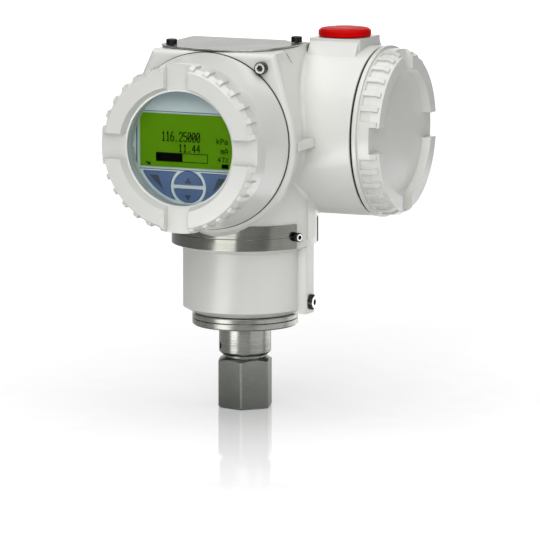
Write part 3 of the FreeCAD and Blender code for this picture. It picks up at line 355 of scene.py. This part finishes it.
def window():
    """Clear glass with a low-reflection coating: it bends what is behind it and hardly mirrors."""
    t = Tree("window_glass")
    smear = t.noise(70.0, 4.0, 0.6)
    tint = t.mix(t.ramp(smear, (0.35, 0.0), (0.65, 1.0)), (0.965, 0.985, 0.975), (0.985, 0.995, 0.990))
    refract = t.node("ShaderNodeBsdfRefraction")
    refract.inputs["IOR"].default_value = 1.5
    refract.inputs["Roughness"].default_value = 0.0
    t.link(tint, refract.inputs["Color"])
    shine = t.node("ShaderNodeBsdfGlossy")
    t.link(t.span(smear, 0.3, 0.7, 0.03, 0.09), shine.inputs["Roughness"])
    shine.inputs["Color"].default_value = (0.9, 0.95, 1.0, 1)
    fresnel = t.node("ShaderNodeFresnel")
    fresnel.inputs["IOR"].default_value = 1.05
    ripple = t.bump(smear, 0.000004, 0.3)
    for n in (refract, shine, fresnel):
        t.link(ripple, n.inputs["Normal"])
    both = t.node("ShaderNodeMixShader")
    t.link(fresnel.outputs[0], both.inputs[0])
    t.link(refract.outputs[0], both.inputs[1])
    t.link(shine.outputs[0], both.inputs[2])
    t.tree.nodes.remove(t.bsdf)
    t.link(both.outputs[0], t.out.inputs["Surface"])
    return t.mat


def circuit_board():
    t = Tree("circuit_board")
    weave = t.noise(1.0, 2.0, 0.5, t.scaled((2600.0, 900.0, 2600.0)))
    tracks = t.ramp(t.noise(420.0, 1.0, 0.3), (0.50, 0.0), (0.53, 1.0))
    colour = t.mix(t.ramp(weave, (0.35, 0.0), (0.65, 1.0)), (0.020, 0.110, 0.045), (0.030, 0.150, 0.065))
    colour = t.mix(t.math("MULTIPLY", tracks, 0.5), colour, (0.055, 0.23, 0.10))
    return t.wire(colour, t.span(weave, 0.3, 0.7, 0.30, 0.42), t.bump(tracks, 0.00003, 0.6))


def brass():
    t = Tree("brass_parts", Metallic=1.0)
    cloud = t.noise(300.0, 4.0, 0.6)
    edge_wear_and_highlight, rounded = t.edges(0.0002, 3.0)
    colour = t.mix(t.ramp(cloud, (0.35, 0.0), (0.65, 1.0)), (0.55, 0.38, 0.14), (0.72, 0.54, 0.24))
    colour = t.mix(t.math("MULTIPLY", edge_wear_and_highlight, 0.5), colour, (0.85, 0.70, 0.40))
    return t.wire(colour, t.span(cloud, 0.3, 0.7, 0.24, 0.38), t.bump(cloud, 0.00001, 0.8, rounded))


COAT = powder_coat()
STEEL = turned_steel("turned_steel")
HEX = milled_steel()
BAND = turned_steel("rolled_band_steel", (0.19, 0.19, 0.172), (0.125, 0.125, 0.113), 0.12, 0.20, mark=0.000005)
RING = plastic("pale_ring", (0.74, 0.82, 0.81), (0.80, 0.88, 0.87), (0.42, 0.52), rub=(0.8, 0.86, 0.86))
PLATE = brushed_plate("brushed_plate", (55.0, 1500.0, 900.0), (0.66, 0.665, 0.64), (0.36, 0.365, 0.34))
SOCKET = socket_steel()
SWIVEL_SCREW = socket_steel("swivel_screw_steel", (1.0, 0.0, 0.0), (0.0, 0.0, 0.057), (0.00165, 0.00325))
LOCK_SCREW = socket_steel("lock_screw_steel", (0.0, 1.0, 0.0), (0.0304, 0.0, 0.1831), (0.00155, 0.00255))
BAND_SCREW = socket_steel("band_screw_steel", (math.cos(math.radians(23.5)), -math.sin(math.radians(23.5)), 0.0),
                          (0.0, 0.0, 0.0928), (0.00120, 0.00180))
BLACK_SCREW = black_screws()
RUBBER = rubber()
RED = red_plug()
BORDER = plastic("border_print_with_painted_glow", (0.50, 0.58, 0.58), (0.56, 0.64, 0.64), (0.42, 0.52), rub=(0.6, 0.68, 0.68))
# painted glow: the border print is given a weak emission
BORDER.node_tree.nodes["Principled BSDF"].inputs["Emission Color"].default_value = (0.50, 0.60, 0.60, 1)
BORDER.node_tree.nodes["Principled BSDF"].inputs["Emission Strength"].default_value = 0.25
LCD = reflective_lcd()
INK = lcd_ink()
FACE = display_face()
GLASS = window()
PCB = circuit_board()
BRASS = brass()
KEY = plastic("key_blue", (0.115, 0.190, 0.400), (0.135, 0.215, 0.440), (0.42, 0.54), rub=(0.22, 0.29, 0.50), rub_by=0.35)
ICON = plastic("key_icon_print", (0.062, 0.082, 0.105), (0.078, 0.100, 0.125), (0.5, 0.6), rub=(0.10, 0.12, 0.15))
LINE_LIGHT = plastic("frame_line_light", (0.66, 0.74, 0.78), (0.72, 0.80, 0.84), (0.4, 0.5))
LINE_SHADOW = plastic("frame_line_painted_shadow", (0.110, 0.150, 0.250), (0.140, 0.185, 0.300), (0.4, 0.5), rub=(0.3, 0.35, 0.45))
DARK = plastic("module_plastic", (0.025, 0.028, 0.031), (0.038, 0.042, 0.046))
TERM = plastic("terminal_plastic", (0.014, 0.014, 0.015), (0.024, 0.024, 0.026), (0.42, 0.55))
BUTTON = plastic("button_plastic", (0.045, 0.045, 0.050), (0.065, 0.065, 0.070), (0.40, 0.52))

FINISH = {
    "process_adapter": HEX, "process_fitting": STEEL, "flange_seal": RUBBER, "sensor_base": STEEL,
    "spigot_o_ring": RUBBER, "retaining_ring": STEEL, "isolating_diaphragm": STEEL, "sensor_capsule": STEEL,
    "sensor_header": BRASS, "sensor_board": PCB, "housing": COAT, "swivel_lock_screw": SWIVEL_SCREW,
    "cover_lock_screw": LOCK_SCREW, "plate_screws": BLACK_SCREW, "tag_band": BAND, "tag_plate": BAND, "band_screw": BAND_SCREW,
    "display_cover": COAT, "display_cover_ring": COAT, "terminal_cover": COAT, "window_gasket": RUBBER,
    "window_glass": GLASS, "window_retaining_ring": RING, "display_cover_o_ring": RUBBER,
    "terminal_cover_o_ring": RUBBER, "display_case": DARK, "key_up": KEY, "key_down": KEY, "key_left": KEY,
    "key_right": KEY, "display_faceplate": FACE, "lcd_panel": LCD, "key_mat": RUBBER, "display_board": PCB,
    "main_board": PCB, "board_posts": BRASS, "module_posts": BRASS, "terminal_block": TERM, "terminal_screws": SOCKET,
    "clamp_plates": BRASS, "block_screws": SOCKET, "ground_screw": SOCKET, "ground_clamp": BRASS,
    "terminal_feedthrough": TERM, "entry_plug": RED, "identification_plate": PLATE, "zero_button": BUTTON,
    "span_button": BUTTON, "write_protect_switch": BUTTON,
}
for name, o in nodes.items():
    for i in range(len(o.material_slots)):
        o.material_slots[i].material = FINISH[name]


# ---------------------------------------------------------------- pieces
def piece(name, bm, material, body):
    bmesh.ops.recalc_face_normals(bm, faces=bm.faces[:])
    mesh = bpy.data.meshes.new(name)
    bm.to_mesh(mesh)
    bm.free()
    mesh.materials.append(material)
    o = bpy.data.objects.new(name, mesh)
    scene.collection.objects.link(o)
    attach(o, body)
    return o


def slab(bm, outline, y_back, y_front, draft=0.0):
    """A thin raised shape on a plane facing -Y; its front edge is drawn in by draft (all mm)."""
    cx = sum(p[0] for p in outline) / len(outline)
    cz = sum(p[1] for p in outline) / len(outline)

    def ring(y, inset):
        out = []
        for x, z in outline:
            away = math.hypot(x - cx, z - cz) or 1.0
            k = max(0.0, 1.0 - inset / away)
            out.append(bm.verts.new(((cx + (x - cx) * k) * MM, y * MM, (cz + (z - cz) * k) * MM)))
        return out

    back, front = ring(y_back, 0.0), ring(y_front, draft)
    n = len(outline)
    bm.faces.new(back)
    bm.faces.new(front[::-1])
    for i in range(n):
        bm.faces.new((back[i], front[i], front[(i + 1) % n], back[(i + 1) % n]))


GLYPHS = {
    "0": [[(0.25, 0.0), (0.0, 0.25), (0.0, 0.75), (0.25, 1.0), (0.75, 1.0), (1.0, 0.75), (1.0, 0.25), (0.75, 0.0), (0.25, 0.0)],
          [(0.15, 0.22), (0.85, 0.78)]],
    "1": [[(0.22, 0.80), (0.52, 1.0), (0.52, 0.0)], [(0.18, 0.0), (0.86, 0.0)]],
    "2": [[(0.0, 0.78), (0.22, 1.0), (0.78, 1.0), (1.0, 0.80), (1.0, 0.62), (0.0, 0.0), (1.0, 0.0)]],
    "4": [[(0.74, 0.0), (0.74, 1.0), (0.0, 0.34), (1.0, 0.34)]],
    "5": [[(0.96, 1.0), (0.05, 1.0), (0.05, 0.58), (0.72, 0.60), (1.0, 0.42), (1.0, 0.18), (0.78, 0.0), (0.20, 0.0), (0.0, 0.16)]],
    "6": [[(0.82, 1.0), (0.42, 0.96), (0.0, 0.55), (0.0, 0.20), (0.24, 0.0), (0.76, 0.0), (1.0, 0.20), (1.0, 0.38), (0.76, 0.56), (0.10, 0.54)]],
    "7": [[(0.0, 1.0), (1.0, 1.0), (0.42, 0.0)]],
    ".": [[(0.30, 0.04), (0.62, 0.04)]],
    "k": [[(0.05, 0.0), (0.05, 1.0)], [(0.85, 0.68), (0.05, 0.30)], [(0.35, 0.42), (0.95, 0.0)]],
    "P": [[(0.05, 0.0), (0.05, 1.0), (0.75, 1.0), (1.0, 0.82), (1.0, 0.64), (0.75, 0.48), (0.05, 0.48)]],
    "a": [[(0.10, 0.66), (0.75, 0.66), (0.95, 0.50), (0.95, 0.0), (0.20, 0.0), (0.0, 0.16), (0.20, 0.34), (0.95, 0.34)]],
    "m": [[(0.0, 0.0), (0.0, 0.66), (0.42, 0.66), (0.5, 0.0)], [(0.5, 0.60), (0.90, 0.66), (1.0, 0.0)]],
    "A": [[(0.0, 0.0), (0.0, 0.62), (0.5, 1.0), (1.0, 0.62), (1.0, 0.0)], [(0.0, 0.36), (1.0, 0.36)]],
    "%": [[(0.0, 0.05), (1.0, 0.95)], [(0.04, 0.92), (0.28, 0.92)], [(0.72, 0.08), (0.96, 0.08)]],
}


def write(bm, text, x0, x1, z0, z1, width, y_back, y_front):
    """Characters in equal cells from x0 to x1, each drawn as strokes of one width."""
    cell = (x1 - x0) / len(text)
    w, h = cell * 0.70, z1 - z0
    step = 0
    for i, ch in enumerate(text):
        ox = x0 + i * cell + cell * 0.15
        for line in GLYPHS[ch]:
            for (ax, az), (bx, bz) in zip(line, line[1:]):
                a = Vector((ox + ax * w, z0 + width / 2 + az * (h - width)))
                b = Vector((ox + bx * w, z0 + width / 2 + bz * (h - width)))
                along = (b - a).normalized() * width * 0.42
                side = Vector((-along.y, along.x)).normalized() * width / 2
                step += 1
                slab(bm, [tuple(a - along - side), tuple(b + along - side), tuple(b + along + side), tuple(a - along + side)],
                     y_back, y_front - 0.0006 * (step % 7))


def rect(x0, x1, z0, z1):
    return [(x0, z0), (x1, z0), (x1, z1), (x0, z1)]


# characters and bar on the display: its glass faces -Y at y -66.35
PB, PF = -66.356, -66.40
bm = bmesh.new()
write(bm, "116.25000", -15.6, 6.0, 146.3, 151.4, 0.55, PB, PF)
write(bm, "11.44", -6.2, 6.0, 141.0, 145.2, 0.55, PB, PF)
write(bm, "kPa", 14.6, 21.2, 146.0, 149.0, 0.42, PB, PF)
write(bm, "mA", 17.0, 21.2, 141.2, 144.2, 0.42, PB, PF)
write(bm, "47%", 15.2, 21.6, 136.9, 139.6, 0.42, PB, PF)
bx0, bx1, bz0, bz1, bt = -18.7, 10.1, 135.9, 140.6, 0.38
slab(bm, rect(bx0, bx1, bz0, bz0 + bt), PB, PF)
slab(bm, rect(bx0, bx1, bz1 - bt, bz1), PB, PF)
slab(bm, rect(bx0, bx0 + bt, bz0 + bt, bz1 - bt), PB, PF)
slab(bm, rect(bx1 - bt, bx1, bz0 + bt, bz1 - bt), PB, PF)
slab(bm, rect(bx0 + bt + 0.02, -3.9, bz0 + bt + 0.02, bz1 - bt - 0.02), PB, PF)
slab(bm, rect(17.6, 21.4, 133.9, 136.1), PB, PF)                       # padlock's body and shackle
slab(bm, [(-24.6, 135.3), (-23.2, 134.6), (-22.9, 135.1), (-24.3, 135.9)], PB, PF)
slab(bm, rect(-23.3, -21.7, 133.9, 135.3), PB, PF)
piece("lcd_characters", bm, INK, "housing")

# a printed light line round the display opening, with a dark line outside it that is a painted shadow
bm = bmesh.new()
slab(bm, rect(-28.15, -27.45, 132.6, 156.3), -68.001, -68.09, 0.05)
slab(bm, rect(-26.2, 26.2, 160.68, 161.36), -68.001, -68.09, 0.05)
slab(bm, rect(-27.3, 27.3, 132.42, 133.12), -68.001, -68.09, 0.05)
piece("lcd_frame_line", bm, LINE_LIGHT, "housing")
bm = bmesh.new()
slab(bm, rect(-28.90, -28.25, 133.0, 155.6), -68.001, -68.07, 0.05)
slab(bm, rect(-25.6, 25.6, 161.44, 161.80), -68.001, -68.07, 0.05)
slab(bm, rect(-26.9, 26.9, 131.95, 132.34), -68.001, -68.07, 0.05)
piece("lcd_frame_shadow_line", bm, LINE_SHADOW, "housing")

# arrows printed on the keys, whose fronts are at y -68.5
KB, KF = -68.503, -68.56
for body, outline in (
    ("key_up", [(-1.9, 125.7), (1.9, 125.7), (0.0, 128.5)]),
    ("key_down", [(-1.9, 119.6), (1.9, 119.6), (0.0, 116.8)]),
    ("key_left", [(-21.6, 129.2), (-16.6, 129.2), (-13.6, 121.9)]),
    ("key_right", [(21.6, 129.2), (16.6, 129.2), (13.6, 121.9)]),
):
    bm = bmesh.new()
    slab(bm, outline, KB, KF, 0.04)
    piece(body + "_arrow", bm, ICON, body)

# fine dark line, a painted shadow, that runs down from the plate's corner on the crown's side
path = [(34.70, -28.9, 190.05), (35.36, -27.6, 188.10), (35.44, -25.0, 186.10), (35.49, -23.1, 184.35), (35.44, -20.1, 182.85)]
bm = bmesh.new()
rows = []
for i, p in enumerate(path):
    rad = (0.26, 0.24, 0.20, 0.14, 0.05)[i]
    q0, q1 = Vector(path[max(0, i - 1)]), Vector(path[min(len(path) - 1, i + 1)])
    along = (q1 - q0).normalized()
    side = along.cross(Vector((1, 0, 0))).normalized()
    up = side.cross(along).normalized()
    rows.append([bm.verts.new((Vector(p) + side * rad * math.cos(a) + up * rad * math.sin(a)) * MM)
                 for a in (2 * math.pi * k / 10 for k in range(10))])
for a, b in zip(rows, rows[1:]):
    for k in range(10):
        bm.faces.new((a[k], b[k], b[(k + 1) % 10], a[(k + 1) % 10]))
bm.faces.new(rows[0][::-1])
bm.faces.new(rows[-1])
SHADOW_LINE = plastic("painted_shadow_line", (0.10, 0.10, 0.095), (0.16, 0.16, 0.15), (0.4, 0.5), rub=(0.3, 0.3, 0.28))
piece("crown_painted_shadow_line", bm, SHADOW_LINE, "housing")

# black bead of the cover's seal, standing just clear of the housing's face; it also serves as the seam's painted
# shadow
bm = bmesh.new()
loops = []
for k in range(16):
    a = math.radians(22.5 * k)
    r, y = 0.04530 + 0.00022 * math.cos(a), -0.04760 + 0.00022 * math.sin(a)
    loops.append([bm.verts.new((r * math.cos(math.radians(2.5 * n)), y, 0.1445 + r * math.sin(math.radians(2.5 * n)))) for n in range(144)])
for a, b in zip(loops, loops[1:] + loops[:1]):
    for n in range(144):
        bm.faces.new((a[n], a[(n + 1) % 144], b[(n + 1) % 144], b[n]))
piece("cover_seal_bead_and_seam_shadow", bm, RUBBER, "display_cover")

# pale border printed on the back of the window, given a painted glow by its material
bm = bmesh.new()
rings = []
for r, y in ((0.0296, -0.07236), (0.0332, -0.07236), (0.0332, -0.07231), (0.0296, -0.07231)):
    rings.append([bm.verts.new((r * math.cos(math.radians(3.0 * k)), y, 0.1445 + r * math.sin(math.radians(3.0 * k)))) for k in range(120)])
for a, b in zip(rings, rings[1:] + rings[:1]):
    for k in range(120):
        bm.faces.new((a[k], a[(k + 1) % 120], b[(k + 1) % 120], b[k]))
piece("window_border_print", bm, BORDER, "display_cover")


# pipe thread in the mouth of the adapter: one helical ridge on the bore's wall
bm = bmesh.new()
pitch, turns, per = 1.814, 6.6, 64
profile = [(0.0, -0.58), (-0.42, -0.10), (-0.42, 0.10), (0.0, 0.58)]
count = int(turns * per)
rows = []
for i in range(count + 1):
    a = 2 * math.pi * i / per
    fade = min(1.0, i / 40.0, (count - i) / 40.0)
    z = 1.1 + pitch * i / per
    rows.append([bm.verts.new(((9.545 + dr * fade) * math.cos(a) * MM, (9.545 + dr * fade) * math.sin(a) * MM, (z + dz * (0.25 + 0.75 * fade)) * MM))
                 for dr, dz in profile])
for a, b in zip(rows, rows[1:]):
    for j in range(4):
        bm.faces.new((a[j], b[j], b[(j + 1) % 4], a[(j + 1) % 4]))
bm.faces.new(rows[0])
bm.faces.new(rows[-1][::-1])
piece("process_thread", bm, STEEL, "sensor")


# ---------------------------------------------------------------- stage
def floor_material():
    t = Tree("pale_floor", Roughness=0.6)
    s = t.node("ShaderNodeSeparateXYZ")
    t.link(t.coord, s.inputs[0])
    r = t.math("SQRT", t.math("ADD", t.math("MULTIPLY", s.outputs[0], s.outputs[0]), t.math("MULTIPLY", s.outputs[1], s.outputs[1])))
    grain = t.noise(40.0, 3.0, 0.5)
    t.wire(t.mix(t.ramp(grain, (0.35, 0.0), (0.65, 1.0)), (0.77, 0.77, 0.77), (0.79, 0.79, 0.79)))
    t.bsdf.inputs["Specular IOR Level"].default_value = 0.0
    t.bsdf.inputs["Emission Color"].default_value = (1, 1, 1, 1)
    t.link(t.span(r, 0.05, 1.60, 0.38, 0.95), t.bsdf.inputs["Emission Strength"])
    mirror = t.node("ShaderNodeBsdfGlossy")
    mirror.inputs["Roughness"].default_value = 0.04
    both = t.node("ShaderNodeMixShader")
    t.link(t.span(r, 0.02, 0.36, 0.38, 0.0), both.inputs[0])
    t.link(t.bsdf.outputs[0], both.inputs[1])
    t.link(mirror.outputs[0], both.inputs[2])
    t.link(both.outputs[0], t.out.inputs["Surface"])
    return t.mat


bm = bmesh.new()
bmesh.ops.create_grid(bm, x_segments=8, y_segments=8, size=14.0)
mesh = bpy.data.meshes.new("floor")
bm.to_mesh(mesh)
bm.free()
mesh.materials.append(floor_material())
mesh.materials[0].cycles.emission_sampling = "NONE"
floor = bpy.data.objects.new("floor", mesh)
floor.location = (0, 0, -0.0002)
scene.collection.objects.link(floor)

AZ, EL = math.radians(23.41), math.radians(8.88)
ahead = Vector((math.sin(AZ), -math.cos(AZ), 0.0))
right = Vector((math.cos(AZ), math.sin(AZ), 0.0))


def softbox(name, place, look, w, h, radiance, colour=(1, 1, 1)):
    light = bpy.data.lights.new(name, "AREA")
    light.shape = "RECTANGLE"
    light.size, light.size_y = w, h
    light.energy = math.pi * w * h * radiance
    light.color = colour
    o = bpy.data.objects.new(name, light)
    o.location = place
    o.rotation_mode = "QUATERNION"
    o.rotation_quaternion = (Vector(look) - Vector(place)).to_track_quat("-Z", "Y")
    scene.collection.objects.link(o)
    return o


mid = Vector((0.014, 0.0, 0.11))
softbox("overhead", (0.0, -0.10, 1.45), (0.0, 0.0, 0.0), 2.0, 2.0, 1.45)
softbox("key_front", mid + ahead * 1.25 - right * 0.22 + Vector((0, 0, 0.62)), mid, 1.2, 0.9, 2.75)
softbox("side_right", mid + ahead * 0.60 + right * 1.30 + Vector((0, 0, 0.45)), mid, 0.8, 0.8, 1.15)
softbox("backdrop", mid - ahead * 2.7 + Vector((0, 0, 0.45)), mid + Vector((0, 0, 0.45)), 3.6, 1.1, 1.1)


def shines_on(light, name, *objs):
    group = bpy.data.collections.new(name)
    for o in objs:
        group.objects.link(o)
    light.light_linking.receiver_collection = group


shines_on(floor, "glow_on_floor", floor)


def low_screen(name, start, stop, strength, lean=0.0):
    """Level slats close to the object that glow upwards only, seen only as a reflection."""
    mat = bpy.data.materials.new(name)
    mat.use_nodes = True
    mat.cycles.emission_sampling = "NONE"
    tree = mat.node_tree
    tree.nodes.clear()
    out = tree.nodes.new("ShaderNodeOutputMaterial")
    glow = tree.nodes.new("ShaderNodeEmission")
    glow.inputs["Strength"].default_value = strength
    clear = tree.nodes.new("ShaderNodeBsdfTransparent")
    side = tree.nodes.new("ShaderNodeNewGeometry")
    both = tree.nodes.new("ShaderNodeMixShader")
    tree.links.new(side.outputs["Backfacing"], both.inputs[0])
    tree.links.new(glow.outputs[0], both.inputs[1])
    tree.links.new(clear.outputs[0], both.inputs[2])
    tree.links.new(both.outputs[0], out.inputs["Surface"])
    bm = bmesh.new()
    steps = 12
    for level in range(7):
        z = 0.006 + 0.016 * level
        row = []
        for k in range(steps + 1):
            a = math.radians(23.4 + start + (stop - start) * k / steps + lean * z / 0.11)
            row.append([bm.verts.new((r * math.sin(a), -r * math.cos(a), z)) for r in (0.13, 0.24)])
        for a, b in zip(row, row[1:]):
            bm.faces.new((a[0], a[1], b[1], b[0]))
    for f in bm.faces:
        f.normal_update()
        if f.normal.z < 0:
            f.normal_flip()
    m = bpy.data.meshes.new(name)
    bm.to_mesh(m)
    bm.free()
    m.materials.append(mat)
    o = bpy.data.objects.new(name, m)
    scene.collection.objects.link(o)
    o.visible_camera = o.visible_diffuse = o.visible_shadow = o.visible_transmission = False


low_screen("strip_left", -66.0, -36.0, 5.0, 37.0)
low_screen("strip_right", 20.0, 84.0, 1.5, 26.0)
low_screen("strip_far_right", 96.0, 145.0, 1.9, 20.0)

world = bpy.data.worlds.new("studio")
scene.world = world
world.use_nodes = True
background = world.node_tree.nodes.get("Background") or world.node_tree.nodes.new("ShaderNodeBackground")
background.inputs["Color"].default_value = (1.0, 1.0, 1.0, 1)
background.inputs["Strength"].default_value = 0.05
scene.view_settings.view_transform = "Standard"

cam_data = bpy.data.cameras.new("camera")
cam_data.lens, cam_data.sensor_width = 322.13, 36.0
cam_data.clip_start, cam_data.clip_end = 0.05, 60.0
cam = bpy.data.objects.new("camera", cam_data)
cam.location = (0.99620, -2.26867, 0.45831)
cam.rotation_mode = "QUATERNION"
cam.rotation_quaternion = (Vector((0.01412, 0.0, 0.07221)) - cam.location).to_track_quat("-Z", "Y")
scene.collection.objects.link(cam)
scene.camera = cam
